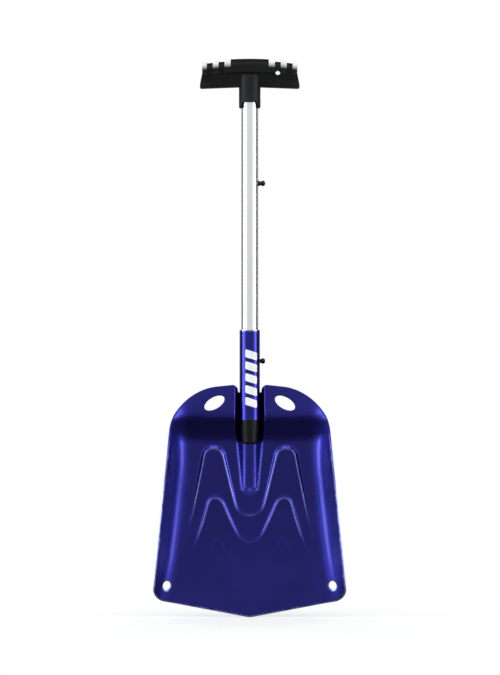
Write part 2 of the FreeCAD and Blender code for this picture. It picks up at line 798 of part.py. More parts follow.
grip_body, grip_ribs = make_grip()
nodes = [
    make_scoop(),
    make_sleeve(),
    make_sleeve_rivets(),
    make_shaft_tube(),
    make_end_plug(),
    grip_body,
    grip_ribs,
    make_grip_rivet(),
    make_snap_pin("lower_snap_pin", LOWER),
    make_snap_pin("upper_snap_pin", UPPER),
    make_leaf_spring("lower_leaf_spring", LOWER),
    make_leaf_spring("upper_leaf_spring", UPPER),
]
doc.recompute()

for thing in doc.Objects:
    if "Invalid" in thing.State or "Error" in thing.State:
        raise RuntimeError(f"{thing.Name} is {thing.State}")

os.makedirs("parts", exist_ok=True)
for node in nodes:
    shape = node.Shape
    if shape.isNull() or not shape.isValid() or not shape.Solids:
        raise RuntimeError(f"{node.Label} has no valid solid")
    shape.exportStep(f"parts/{node.Label}.step")
    box = shape.BoundBox
    print(f"{node.Label}: {len(shape.Solids)} solids, {shape.Volume:.0f} mm3, {box}")
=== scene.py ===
import math

import bpy
import numpy as np
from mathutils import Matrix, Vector
from mathutils.geometry import delaunay_2d_cdt


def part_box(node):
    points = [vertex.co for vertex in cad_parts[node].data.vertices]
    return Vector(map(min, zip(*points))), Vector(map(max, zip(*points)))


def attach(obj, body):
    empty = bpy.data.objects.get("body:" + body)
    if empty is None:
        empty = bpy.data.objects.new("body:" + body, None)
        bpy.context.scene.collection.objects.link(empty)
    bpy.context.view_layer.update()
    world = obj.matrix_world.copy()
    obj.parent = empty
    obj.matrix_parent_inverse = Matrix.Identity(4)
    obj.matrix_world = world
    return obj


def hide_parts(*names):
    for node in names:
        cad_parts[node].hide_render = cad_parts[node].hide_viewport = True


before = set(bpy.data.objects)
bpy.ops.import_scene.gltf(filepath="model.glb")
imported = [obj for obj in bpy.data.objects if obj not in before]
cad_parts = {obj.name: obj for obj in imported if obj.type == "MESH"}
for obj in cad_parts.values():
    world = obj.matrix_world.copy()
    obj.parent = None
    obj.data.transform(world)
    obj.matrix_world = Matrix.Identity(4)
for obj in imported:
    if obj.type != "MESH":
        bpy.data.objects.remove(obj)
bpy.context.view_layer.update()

MM = 0.001


# ---- meshes -----------------------------------------------------------------------------------


def new_mesh(name, points, faces, smooth=True):
    """An object made of points, in metres, and faces of point numbers."""
    mesh = bpy.data.meshes.new(name)
    mesh.from_pydata([tuple(p) for p in points], [], [tuple(int(i) for i in f) for f in faces])
    mesh.update()
    if smooth:
        mesh.shade_smooth()
    piece = bpy.data.objects.new(name, mesh)
    bpy.context.scene.collection.objects.link(piece)
    return piece


# ---- the scoop's relief, in millimetres ---------------------------------------------------------

SHEET = 2.0
TROUGH_FRONT = 14.9
SLEEVE_BOTTOM = 288.0

SIDE_TOP = (113.1, 293.1)  # where the straight side would meet the shoulder's slope
SIDE_FOOT = (140.95, 26.1)  # where it would meet the cutting edge
SHOULDER = (77.5, 333.6)  # where the shoulder's slope would meet the top edge

FLOOR_DEPTH = 23.0  # of the floor near the tip
# Bends of the long profile: the height of each, the width it is spread over and how much it
# changes the slope.
FLOOR_BENDS = [(150, 200, -0.18), (262, 16, -0.295), (294, 16, 0.53)]

SEAT_RADIUS = 14.9  # the trough's bottom hugs the sleeve
SEAT_BENDS = [(10, 20, 0.12), (40, 20, -0.07)]  # measured down from the sleeve's lower end
SEAT_END = 190.0  # where it turns up to meet the floor
SEAT_END_BEND = (4, 0.6)
TROUGH_STEEPEST = (46, 66)  # degrees: low down, and beside the sleeve
TROUGH_CHANGE = (250, 300)
RIM_BLEND = 3.0

WALL_SLOPE = 1.3
WALL_START = 25.0  # distance from the edge at which a sharp bend would start the wall
WALL_BEND = 30.0
WALL_NARROWING = (8, 40)  # how much nearer the edge it starts at the foot, and over what height
WALL_RISE = (15, 35)
CORNER_BLEND = 13.0
SHOULDER_FADE = (-60, 65)  # where the wall dies away, along the shoulder's slope

# Pressed panels, right-hand half: one M inside another, and a faint peak below them. Each has
# lines through its legs, then the step round it and the heights over which the step fades in.
LEG_BLEND = 14.0  # rounding where the legs meet their arches
PANELS = [
    {
        "outer_leg": ((98, 92), (72, 236)),
        "inner_leg": ((33, 237), (17, 165)),
        "arch_top": 253,
        "valley": 153,
        "step": 5.0,
        "steepest": 50,
        "bend_radius": 3.5,
        "fades_in": (80, 240),
    },
    {
        "outer_leg": ((83.5, 100), (62, 178)),
        "inner_leg": ((34, 167), (14, 121)),
        "arch_top": 182,
        "valley": 111,
        "step": 3.0,
        "steepest": 40,
        "bend_radius": 3.5,
        "fades_in": (75, 150),
    },
    {
        "outer_leg": ((66, 87), (51, 121)),
        "inner_leg": ((44, 121), (25, 79)),
        "arch_top": 126,
        "valley": 30,
        "step": 0.8,
        "steepest": 15,
        "bend_radius": 8.0,
        "fades_in": (68, 112),
    },
]

SCOOP_OUTLINE = [
    (0, -0.4, 22),
    (*SIDE_FOOT, 19.6),
    (*SIDE_TOP, 62),
    (*SHOULDER, 78),
    (16.5, 339.9, 8.5),
    (16.5, 328.0, 1.5),
]

OVAL_SPOT = (51.0, 312.7)
OVAL_RADII = (16.0, 8.2)
OVAL_TILT = 30
CORNER_HOLE_SPOT = (120.4, 46.6)
CORNER_HOLE_RADIUS = 6.65

SLOPE_STEP = 0.05  # over which the sheet's slope is measured


def soft_bend(at, centre, width):
    """A level line that turns to a slope of 1 about centre, over width."""
    into = at - centre + width / 2
    spread = np.clip(into, 0, width) ** 2 / (2 * width)
    return spread + np.maximum(into - width, 0)


def fade(at, start, end):
    """0 before start, 1 after end, and a smooth change between."""
    share = np.clip((at - start) / (end - start), 0, 1)
    return share * share * (3 - 2 * share)


def pressed_step(inside, height, steepest, radius):
    """The height of a step with a rounded foot and top, at a distance inside its outline."""
    height = np.maximum(height, 0)
    least = np.arccos(np.clip(1 - height / (2 * radius), -1, 1))
    angle = np.maximum(np.minimum(np.radians(steepest), least), 1e-6)
    run = radius * np.sin(angle)
    rise = radius * (1 - np.cos(angle))
    slope = (height - 2 * rise) / np.tan(angle)
    left = 2 * run + slope - inside
    first = radius - np.sqrt(np.maximum(radius**2 - np.clip(inside, 0, run) ** 2, 0))
    last = height - radius + np.sqrt(np.maximum(radius**2 - np.clip(left, 0, run) ** 2, 0))
    middle = rise + (inside - run) * np.tan(angle)
    risen = np.where(inside < run, first, np.where(left < run, last, middle))
    return np.where(inside <= 0, 0, np.where(left <= 0, height, risen))


def soft_min(first, second, radius):
    """The smaller of two values, blended where they are within radius of each other."""
    blend = np.maximum(radius - np.abs(first - second), 0) / radius
    return np.minimum(first, second) - blend * blend * radius / 4


def left_of_line(x, z, start, end):
    """How far a point lies to the left of the line from start to end."""
    along_x, along_z = end[0] - start[0], end[1] - start[1]
    return (along_x * (z - start[1]) - along_z * (x - start[0])) / math.hypot(along_x, along_z)


def floor_depth(z):
    """The scoop's long profile: flange, rear wall, then a floor that levels out to the tip."""
    return FLOOR_DEPTH + sum(turn * soft_bend(z, at, width) for at, width, turn in FLOOR_BENDS)


def trough_depth(x, z):
    """The channel that holds the sleeve and lets the shaft slide down, below the floor."""
    x = np.abs(x)
    low, high = TROUGH_STEEPEST
    steepest = np.radians(low + (high - low) * fade(z, *TROUGH_CHANGE))
    tangent = SEAT_RADIUS * np.sin(steepest)
    rise = SEAT_RADIUS - np.sqrt(SEAT_RADIUS**2 - np.minimum(x, tangent) ** 2)
    rise = rise + np.maximum(x - tangent, 0) * np.tan(steepest)
    below = SLEEVE_BOTTOM - z
    bottom = TROUGH_FRONT + sum(turn * soft_bend(below, at, width) for at, width, turn in SEAT_BENDS)
    end_width, end_turn = SEAT_END_BEND
    bottom = bottom - end_turn * soft_bend(SEAT_END - z, 0, end_width)
    return -soft_min(0.0, floor_depth(z) - bottom + rise, RIM_BLEND)


def wall_height(x, z):
    """The side walls, which bend up near the edge and follow it round the shoulders."""
    x = np.abs(x)
    side = left_of_line(x, z, SIDE_FOOT, SIDE_TOP)
    shoulder = left_of_line(x, z, SIDE_TOP, SHOULDER)
    from_edge = soft_min(side, shoulder, CORNER_BLEND)
    low = np.maximum(z, 0)
    nearer, over = WALL_NARROWING
    start = WALL_START - nearer * np.exp(-low / over)
    lead, length = WALL_RISE
    rise = 1 - np.exp(-(low + lead) / length)
    slope_x, slope_z = SHOULDER[0] - SIDE_TOP[0], SHOULDER[1] - SIDE_TOP[1]
    along = ((x - SIDE_TOP[0]) * slope_x + (z - SIDE_TOP[1]) * slope_z) / math.hypot(slope_x, slope_z)
    steepness = WALL_SLOPE * rise * (1 - fade(along, *SHOULDER_FADE))
    return steepness * soft_bend(start - from_edge, 0, WALL_BEND)


def panel_distance(x, z, panel):
    """How far a point lies inside an M-shaped panel."""
    x = np.abs(x)
    inner = -left_of_line(x, z, *panel["inner_leg"])
    inside_inner = -soft_min(inner, z - panel["valley"], LEG_BLEND)
    inside_legs = soft_min(left_of_line(x, z, *panel["outer_leg"]), inside_inner, LEG_BLEND)
    return soft_min(inside_legs, panel["arch_top"] - z, LEG_BLEND)


def panel_height(x, z):
    """How far the panels' steps lift the sheet towards the front."""
    height = 0.0
    for panel in PANELS:
        step = panel["step"] * fade(z, *panel["fades_in"])
        inside = panel_distance(x, z, panel)
        height = height + pressed_step(inside, step, panel["steepest"], panel["bend_radius"])
    return height


def scoop_front(x, z):
    """How far back the sheet's front face lies."""
    return floor_depth(z) + trough_depth(x, z) - wall_height(x, z) - panel_height(x, z)


def scoop_normals(x, z):
    """The sheet's normals, pointing back."""
    step = SLOPE_STEP
    dx = (scoop_front(x + step, z) - scoop_front(x - step, z)) / (2 * step)
    dz = (scoop_front(x, z + step) - scoop_front(x, z - step)) / (2 * step)
    normal = np.stack([-dx, np.ones_like(dx), -dz], axis=1)
    return normal / np.linalg.norm(normal, axis=1, keepdims=True)


# ---- outlines in the plane ----------------------------------------------------------------------


def rounded_outline(corners, spacing):
    """Points along a closed outline of (x, y, rounding radius) corners, evenly spaced."""
    points = np.array([c[:2] for c in corners], float)
    path = []
    for index, (_, _, radius) in enumerate(corners):
        corner = points[index]
        back = points[index - 1] - corner
        on = points[(index + 1) % len(points)] - corner
        back /= np.linalg.norm(back)
        on /= np.linalg.norm(on)
        half = math.acos(np.clip(back @ on, -1, 1)) / 2
        towards = (back + on) / np.linalg.norm(back + on)
        centre = corner + towards * radius / math.sin(half)
        start = corner + back * radius / math.tan(half) - centre
        end = corner + on * radius / math.tan(half) - centre
        turn = math.pi - 2 * half
        sign = math.copysign(1, start[0] * end[1] - start[1] * end[0])
        count = max(int(math.ceil(turn * radius / spacing)), 3)
        for step in range(count + 1):
            angle = sign * turn * step / count
            c, s = math.cos(angle), math.sin(angle)
            path.append(centre + [c * start[0] - s * start[1], s * start[0] + c * start[1]])
    path = np.array(path)
    filled = []
    for here, there in zip(path, np.roll(path, -1, axis=0)):
        gap = np.linalg.norm(there - here)
        if gap < 1e-6:
            continue
        count = max(int(round(gap / spacing)), 1)
        filled += [here + (there - here) * step / count for step in range(count)]
    return np.array(filled)


def ellipse(centre, major, minor, tilt, count):
    """Points round a tilted ellipse."""
    angles = np.linspace(0, 2 * math.pi, count, endpoint=False)
    x, y = major * np.cos(angles), minor * np.sin(angles)
    c, s = math.cos(tilt), math.sin(tilt)
    return np.stack([centre[0] + c * x - s * y, centre[1] + s * x + c * y], axis=1)


def double_area(loop):
    """Twice a closed loop's area, positive where it runs anticlockwise."""
    return np.sum(loop[:, 0] * np.roll(loop[:, 1], -1) - np.roll(loop[:, 0], -1) * loop[:, 1])


def outward(loop):
    """Each point's direction away from the loop's inside, in the plane."""
    along = np.roll(loop, -1, axis=0) - np.roll(loop, 1, axis=0)
    along /= np.linalg.norm(along, axis=1, keepdims=True)
    side = math.copysign(1, double_area(loop))
    return np.stack([along[:, 1], -along[:, 0]], axis=1) * side


def inside_loop(points, loop):
    """Which points lie inside a closed loop."""
    within = np.zeros(len(points), bool)
    for (x0, y0), (x1, y1) in zip(loop, np.roll(loop, -1, axis=0)):
        if y0 == y1:
            continue
        crossing = (points[:, 1] >= min(y0, y1)) & (points[:, 1] < max(y0, y1))
        at = x0 + (points[:, 1] - y0) * (x1 - x0) / (y1 - y0)
        within ^= crossing & (points[:, 0] < at)
    return within


# ---- the scoop ----------------------------------------------------------------------------------

MESH_SPACING = 1.6
ROW_SPACING = 0.866  # of the mesh spacing, which keeps the triangles nearly equal-sided
OUTLINE_SPACING = 1.4
OVAL_POINTS = 64
HOLE_POINTS = 48
RIM = 0.45  # rounding of the sheet's edges
RIM_CLEARANCE = 1.3  # the inner mesh keeps this far from the edges
# The rounded rim: how far out each row lies, as a share of RIM, and how far through the sheet.
RIM_PROFILE = [(0.3, 0.07), (0.86, 0.22), (1.0, 0.5), (0.86, 0.78), (0.3, 0.93)]


def corner_hole(side, radius):
    """A round hole square to the sheet, as its outline in the front view."""
    spot = np.array([[side * CORNER_HOLE_SPOT[0], CORNER_HOLE_SPOT[1]]])
    normal = scoop_normals(spot[:, 0], spot[:, 1])[0]
    across = np.array([normal[1], -normal[0], 0])
    across /= np.linalg.norm(across)
    along = np.cross(across, normal)
    angles = np.linspace(0, 2 * math.pi, HOLE_POINTS, endpoint=False)
    ring = np.outer(np.cos(angles), across) + np.outer(np.sin(angles), along)
    return spot[0] + radius * ring[:, [0, 2]]


def scoop_rims():
    """The sheet's outline, then its holes, each with its directions out of the metal."""
    left = [(-x, z, radius) for x, z, radius in reversed(SCOOP_OUTLINE) if x > 0]
    outline = rounded_outline(SCOOP_OUTLINE + left, OUTLINE_SPACING)
    rims = [(outline, outward(outline))]
    for side in (1, -1):
        spot = (side * OVAL_SPOT[0], OVAL_SPOT[1])
        oval = ellipse(spot, *OVAL_RADII, -side * math.radians(OVAL_TILT), OVAL_POINTS)
        for hole in (oval, corner_hole(side, CORNER_HOLE_RADIUS)):
            rims.append((hole, -outward(hole)))
    return rims


def within_metal(points, rims, inset):
    """Which points lie in the sheet and at least inset from its rims."""
    outline, away = rims[0]
    within = inside_loop(points, outline - away * inset)
    for hole, away in rims[1:]:
        within &= ~inside_loop(points, hole - away * inset)
    return within


def sheet_lattice(rims):
    """Points spread evenly over the sheet, clear of its rims."""
    outline = rims[0][0]
    low, high = outline.min(0), outline.max(0)
    rows = []
    for number, z in enumerate(np.arange(low[1], high[1], MESH_SPACING * ROW_SPACING)):
        across = np.arange(low[0] + (number % 2) * MESH_SPACING / 2, high[0], MESH_SPACING)
        rows.append(np.stack([across, np.full_like(across, z)], axis=1))
    lattice = np.concatenate(rows)
    return lattice[within_metal(lattice, rims, RIM_CLEARANCE)]


def flat_sheet(rims):
    """The sheet's flat mesh: its points, its triangles and the numbers of each rim's points."""
    flat = [sheet_lattice(rims)]
    edges, starts = [], []
    count = len(flat[0])
    for loop, away in rims:
        size = len(loop)
        starts.append(count)
        edges += [(count + i, count + (i + 1) % size) for i in range(size)]
        flat.append(loop - away * RIM)
        count += size
    made = delaunay_2d_cdt([Vector(p) for p in np.concatenate(flat)], edges, [], 0, 1e-7, True)
    place = np.array([tuple(v) for v in made[0]])
    triangles = np.array([f for f in made[2] if len(f) == 3])
    triangles = triangles[within_metal(place[triangles].mean(axis=1), rims, RIM)]
    corner = place[triangles]
    turn = np.cross(corner[:, 1] - corner[:, 0], corner[:, 2] - corner[:, 0])
    triangles[turn < 0] = triangles[turn < 0][:, ::-1]
    made_from = {given: index for index, givens in enumerate(made[3]) for given in givens}
    rings = []
    for start, (loop, _) in zip(starts, rims):
        rings.append(np.array([made_from[start + i] for i in range(len(loop))]))
    return place, triangles, rings


def rim_rows(loop, away):
    """The rows of points that round off one rim, from the front face to the back."""
    normals = scoop_normals(loop[:, 0], loop[:, 1])
    rows = []
    for reach, share in RIM_PROFILE:
        at = loop - away * RIM * (1 - reach)
        base = np.stack([at[:, 0], scoop_front(at[:, 0], at[:, 1]), at[:, 1]], axis=1)
        rows.append(base + normals * SHEET * share)
    return rows


def band(one, other, flip):
    """The quads between two closed rows of point numbers."""
    quads = []
    for i in range(len(one)):
        j = (i + 1) % len(one)
        quad = (one[i], one[j], other[j], other[i])
        quads.append(quad[::-1] if flip else quad)
    return quads


def make_scoop():
    """The pressed sheet with its real thickness, its holes and softened rims."""
    rims = scoop_rims()
    place, triangles, rings = flat_sheet(rims)
    size = len(place)
    x, z = place[:, 0], place[:, 1]
    front = np.stack([x, scoop_front(x, z), z], axis=1)
    points = [front, front + scoop_normals(x, z) * SHEET]
    faces = [tuple(t) for t in triangles]
    faces += [tuple(t[::-1] + size) for t in triangles]

    total = 2 * size
    for number, ((loop, away), ring) in enumerate(zip(rims, rings)):
        layers = [ring]
        for row in rim_rows(loop, away):
            points.append(row)
            layers.append(np.arange(total, total + len(row)))
            total += len(row)
        layers.append(ring + size)
        flip = (double_area(loop) > 0) == (number == 0)
        for one, other in zip(layers, layers[1:]):
            faces += band(one, other, flip)
    scoop = new_mesh("scoop_shell", np.concatenate(points) * MM, faces)
    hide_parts("scoop_blade")
    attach(scoop, "scoop")
    return scoop


# ---- the mark on the sleeve ---------------------------------------------------------------------

SLEEVE_RADIUS = 14.8
FILM = 0.07  # thickness of the ink
FILM_GAP = 0.005
BAR_COUNT = 5
BAR_BOTTOM = 310.5  # of the lowest bar, at its left side
BAR_PITCH = 17.2
BAR_TALL = 11.4
BAR_SLANT = 0.30
BAR_SIDES = (-6.6, 11.6)  # measured round the sleeve from its front
BAR_ROUNDING = 1.6
BAR_SPACING = 0.7
BAR_COLUMNS = 24
BAR_INSET = 0.02  # keeps the end columns just inside the outline


def bar_outline(bottom):
    """One bar's rounded outline, laid flat."""
    left, right = BAR_SIDES
    drop = BAR_SLANT * (right - left)
    corners = [
        (left, bottom, BAR_ROUNDING),
        (right, bottom - drop, BAR_ROUNDING),
        (right, bottom + BAR_TALL - drop, BAR_ROUNDING),
        (left, bottom + BAR_TALL, BAR_ROUNDING),
    ]
    return rounded_outline(corners, BAR_SPACING)


def bar_ends(loop, arc):
    """The lowest and highest points of a bar's outline at a place across it."""
    crossings = []
    for (x0, z0), (x1, z1) in zip(loop, np.roll(loop, -1, axis=0)):
        if (x0 - arc) * (x1 - arc) < 0:
            crossings.append(z0 + (arc - x0) * (z1 - z0) / (x1 - x0))
    return min(crossings), max(crossings)


def bar_faces(base):
    """One bar's faces, for points numbered from base with four in each column."""
    faces = []
    for column in range(BAR_COLUMNS):
        a = base + 4 * column
        b = a + 4
        faces.append((a + 2, b + 2, b + 3, a + 3))
        faces.append((a + 1, b + 1, b, a))
        faces.append((a, b, b + 2, a + 2))
        faces.append((a + 3, b + 3, b + 1, a + 1))
    end = base + 4 * BAR_COLUMNS
    faces.append((base, base + 2, base + 3, base + 1))
    faces.append((end + 1, end + 3, end + 2, end))
    return faces


def make_sleeve_bars():
    """Five plain slanted bars printed on the sleeve, as a film that hugs its curve."""
    left, right = BAR_SIDES
    points, faces = [], []
    for number in range(BAR_COUNT):
        loop = bar_outline(BAR_BOTTOM + number * BAR_PITCH)
        faces += bar_faces(len(points))
        for arc in np.linspace(left, right, BAR_COLUMNS + 1):
            ends = bar_ends(loop, np.clip(arc, left + BAR_INSET, right - BAR_INSET))
            angle = arc / SLEEVE_RADIUS
            for radius in (SLEEVE_RADIUS + FILM_GAP, SLEEVE_RADIUS + FILM):
                points += [(radius * math.sin(angle), -radius * math.cos(angle), z) for z in ends]
    bars = new_mesh("sleeve_bars", np.array(points) * MM, faces, smooth=False)
    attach(bars, "scoop")
    return bars


# ---- materials ----------------------------------------------------------------------------------

DEEP_BLUE = (0.0175, 0.0175, 0.185)
PALE_BLUE = (0.0225, 0.0215, 0.225)
SCUFFED_BLUE = (0.2, 0.22, 0.5)
# pale blue for the worn mask: wear at the sleeve's rim, painted highlight over wear on the scoop's
# creases
WORN_AND_HIGHLIGHT_BLUE = (0.5, 0.56, 0.98)
BLACK = (0.003, 0.003, 0.003)
GRIP_ARCH = 0.454  # the radius on which the grip's bar bends down towards its ends
RIB_HIGHLIGHT_FADE = (0.7995, 0.8085)  # heights, at the bar's middle, over which a rib's painted highlight fades in
SLEEVE_RUB = 0.0025  # how far down the sleeve's upper rim is rubbed


class Look:
    """A material under construction, with short names for the nodes it uses."""

    def __init__(self, name):
        self.material = bpy.data.materials.new(name)
        self.material.use_nodes = True
        self.nodes = self.material.node_tree.nodes
        self.links = self.material.node_tree.links
        self.nodes.clear()
        self.output = self.nodes.new("ShaderNodeOutputMaterial")
        self.surface = self.nodes.new("ShaderNodeBsdfPrincipled")
        self.links.new(self.surface.outputs[0], self.output.inputs[0])
        self.place = self.nodes.new("ShaderNodeTexCoord").outputs["Object"]

    def put(self, socket, value):
        """Feeds a socket from another one, or sets it to a number or a colour."""
        if isinstance(value, bpy.types.NodeSocket):
            self.links.new(value, socket)
        elif isinstance(value, (tuple, list)) and len(value) == 3 and len(socket.default_value) == 4:
            socket.default_value = (*value, 1.0)
        else:
            socket.default_value = value

    def set(self, name, value):
        self.put(self.surface.inputs[name], value)

    def stretched(self, scale):
        """Object coordinates scaled along each axis."""
        mapping = self.nodes.new("ShaderNodeMapping")
        self.put(mapping.inputs["Vector"], self.place)
        mapping.inputs["Scale"].default_value = scale
        return mapping.outputs[0]

    def noise(self, scale, detail=4.0, roughness=0.55, stretch=(1, 1, 1)):
        texture = self.nodes.new("ShaderNodeTexNoise")
        self.put(texture.inputs["Vector"], self.stretched(stretch))
        texture.inputs["Scale"].default_value = scale
        texture.inputs["Detail"].default_value = detail
        texture.inputs["Roughness"].default_value = roughness
        return texture.outputs["Fac"]

    def range(self, value, low, high, to_low=0.0, to_high=1.0):
        """A value between low and high, carried to between to_low and to_high and held there."""
        remap = self.nodes.new("ShaderNodeMapRange")
        self.put(remap.inputs["Value"], value)
        for name, number in (
            ("From Min", low),
            ("From Max", high),
            ("To Min", to_low),
            ("To Max", to_high),
        ):
            remap.inputs[name].default_value = number
        return remap.outputs[0]

    def math(self, operation, first, second):
        node = self.nodes.new("ShaderNodeMath")
        node.operation = operation
        self.put(node.inputs[0], first)
        self.put(node.inputs[1], second)
        return node.outputs[0]

    def mix(self, share, first, second):
        node = self.nodes.new("ShaderNodeMix")
        node.data_type = "RGBA"
        self.put(node.inputs["Factor"], share)
        self.put(node.inputs[6], first)
        self.put(node.inputs[7], second)
        return node.outputs[2]

    def worn_edges(self, start, full):
        """1 on sharp outer edges and 0 elsewhere."""
        geometry = self.nodes.new("ShaderNodeNewGeometry")
        return self.range(geometry.outputs["Pointiness"], start, full)

    def along(self, axis):
        """The place along one axis, in metres."""
        separate = self.nodes.new("ShaderNodeSeparateXYZ")
        self.put(separate.inputs[0], self.place)
        return separate.outputs[axis]

    def rounded(self, radius):
        """Normals that round off hard edges."""
        bevel = self.nodes.new("ShaderNodeBevel")
        bevel.samples = 6
        bevel.inputs["Radius"].default_value = radius
        return bevel.outputs[0]

    def bump(self, height, strength, distance, normal=None):
        node = self.nodes.new("ShaderNodeBump")
        node.inputs["Strength"].default_value = strength
        node.inputs["Distance"].default_value = distance
        self.put(node.inputs["Height"], height)
        if normal is not None:
            self.put(node.inputs["Normal"], normal)
        self.set("Normal", node.outputs[0])
        return node.outputs[0]


def anodised(look, deep, pale, grain_stretch, roughness, worn):
    """Dyed anodised aluminium: satin, with a fine grain and faint handling marks. The worn mask lays
    on paler lines: wear at the sleeve's rim, and painted highlight over wear along the scoop's
    creases.
    """
    cloud = look.noise(9, 3)
    scuffs = look.noise(240, 6, 0.7, (1, 1, 0.06))
    scratch = look.range(scuffs, 0.66, 0.74, 0.0, 0.35)
    colour = look.mix(look.range(cloud, 0.35, 0.65), deep, pale)
    colour = look.mix(look.math("MULTIPLY", scratch, 0.35), colour, SCUFFED_BLUE)
    edge = look.math("MULTIPLY", worn, look.range(look.noise(60, 4), 0.1, 0.45))
    # paler lines from the worn mask: painted highlight on the scoop's creases, wear on the sleeve's
    # rim
    colour = look.mix(look.math("MULTIPLY", edge, 0.9), colour, WORN_AND_HIGHLIGHT_BLUE)
    look.set("Base Color", colour)
    look.set("Metallic", 1.0)
    grain = look.noise(900, 3, 0.6, grain_stretch)
    rough = look.math("ADD", look.range(grain, 0.3, 0.7, roughness - 0.03, roughness + 0.05), scratch)
    look.set("Roughness", look.math("ADD", rough, look.range(cloud, 0.3, 0.7, -0.02, 0.03)))
    look.set("Coat Weight", 0.2)
    look.set("Coat Roughness", 0.12)
    look.bump(grain, 0.12, 0.00006)
    return look.material


def scoop_blue():
    """The dyed scoop, paler along its pressed creases, most of all low down: wear with a painted
    highlight on top, standing in for the light that catches the creases.
    """
    look = Look("scoop_anodised")
    pointiness = look.nodes.new("ShaderNodeNewGeometry").outputs["Pointiness"]
    crease = look.range(pointiness, 0.516, 0.54)
    not_rim = look.range(pointiness, 0.555, 0.575, 1.0, 0.0)
    low = look.range(look.along("Z"), 0.18, 0.2, 1.0, 0.4)
    below_band = look.range(look.along("Z"), 0.235, 0.26, 1.0, 0.0)
    inner_crease = look.math("MULTIPLY", crease, not_rim)
    # painted highlight: the crease mask is strongest on the lower panel, where the highlight lines
    # are brightest
    highlight_by_height = look.math("MULTIPLY", low, below_band)
    worn = look.math("MULTIPLY", inner_crease, highlight_by_height)
    return anodised(look, DEEP_BLUE, PALE_BLUE, (1, 1, 1), 0.29, worn)


def sleeve_blue():
    """The same dye on the drawn sleeve, rubbed at its upper rim."""
    look = Look("sleeve_anodised")
    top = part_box("lower_sleeve")[1][2]
    rim = look.range(look.along("Z"), top - SLEEVE_RUB, top)
    return anodised(look, DEEP_BLUE, PALE_BLUE, (1, 1, 0.1), 0.24, rim)


def bare_tube():
    """Clear anodised drawn tube with its grain along the length."""
    look = Look("bare_tube_metal")
    cloud = look.noise(14, 3, 0.5, (1, 1, 0.4))
    drawn = look.noise(1500, 4, 0.6, (1, 1, 0.01))
    rubbed = look.range(look.noise(220, 5, 0.7, (1, 1, 0.3)), 0.62, 0.72, 0.0, 1.0)
    colour = look.mix(look.range(cloud, 0.3, 0.7), (0.86, 0.86, 0.88), (0.92, 0.92, 0.93))
    colour = look.mix(look.math("MULTIPLY", rubbed, 0.15), colour, (0.7, 0.7, 0.72))
    look.set("Base Color", colour)
    look.set("Metallic", 0.9)
    look.set("Roughness", look.range(drawn, 0.3, 0.7, 0.19, 0.25))
    look.bump(drawn, 0.1, 0.00004)
    return look.material


def moulded(name, dark, pale, roughness, edge_radius):
    """Black moulded plastic with a fine spark-eroded texture and softened edges."""
    look = Look(name)
    cloud = look.noise(30, 4)
    texture = look.noise(2600, 3, 0.6)
    colour = look.mix(look.range(cloud, 0.35, 0.65), dark, pale)
    edge = look.math("MULTIPLY", look.worn_edges(0.54, 0.62), 0.5)
    look.set("Base Color", look.mix(edge, colour, (0.02, 0.02, 0.021)))
    look.set("Roughness", look.range(cloud, 0.3, 0.7, roughness - 0.05, roughness + 0.07))
    look.set("Specular IOR Level", 0.12)
    look.bump(texture, 0.25, 0.00012, look.rounded(edge_radius))
    return look.material


def ribbed_rubber():
    """The ribs: black rubber with a painted highlight over the top of the bar, fading to dark down
    its sides.
    """
    look = Look("rib_rubber_painted_highlight")
    cloud = look.noise(60, 4)
    texture = look.noise(1800, 3, 0.6)
    across = look.along("X")
    arch = look.math("DIVIDE", look.math("MULTIPLY", across, across), 2 * GRIP_ARCH)
    # painted highlight: each rib's top is coloured pale in place of the top light's reflection
    up = look.range(look.math("ADD", look.along("Z"), arch), *RIB_HIGHLIGHT_FADE)
    pale = look.math("MULTIPLY", up, look.range(cloud, 0.3, 0.7, 0.85, 1.0))
    look.set("Base Color", look.mix(pale, (0.004, 0.004, 0.004), (0.85, 0.85, 0.86)))
    look.set("Roughness", look.range(cloud, 0.3, 0.7, 0.42, 0.52))
    look.set("Specular IOR Level", 0.15)
    look.bump(texture, 0.15, 0.0001, look.rounded(0.0007))
    return look.material


def dark_steel():
    """The snap pins: turned steel, blackened and lightly oiled."""
    look = Look("pin_dark_steel")
    turned = look.noise(900, 4, 0.6, (4, 0.2, 0.2))
    colour = look.mix(look.range(turned, 0.35, 0.65), (0.008, 0.007, 0.007), (0.016, 0.014, 0.013))
    edge = look.worn_edges(0.53, 0.6)
    look.set("Base Color", look.mix(look.math("MULTIPLY", edge, 0.2), colour, (0.2, 0.19, 0.18)))
    look.set("Metallic", 1.0)
    look.set("Roughness", look.range(turned, 0.3, 0.7, 0.1, 0.18))
    look.set("Coat Weight", 0.3)
    look.set("Coat Roughness", 0.05)
    look.bump(turned, 0.08, 0.00003, look.rounded(0.0004))
    return look.material


def plain_metal(name, dark, pale, roughness):
    """Rivets and springs: bare metal with tool marks."""
    look = Look(name)
    marks = look.noise(700, 5, 0.65, (1, 1, 0.3))
    look.set("Base Color", look.mix(look.range(marks, 0.35, 0.65), dark, pale))
    look.set("Metallic", 1.0)
    look.set("Roughness", look.range(marks, 0.3, 0.7, roughness - 0.06, roughness + 0.08))
    look.bump(marks, 0.15, 0.00005, look.rounded(0.0003))
    return look.material


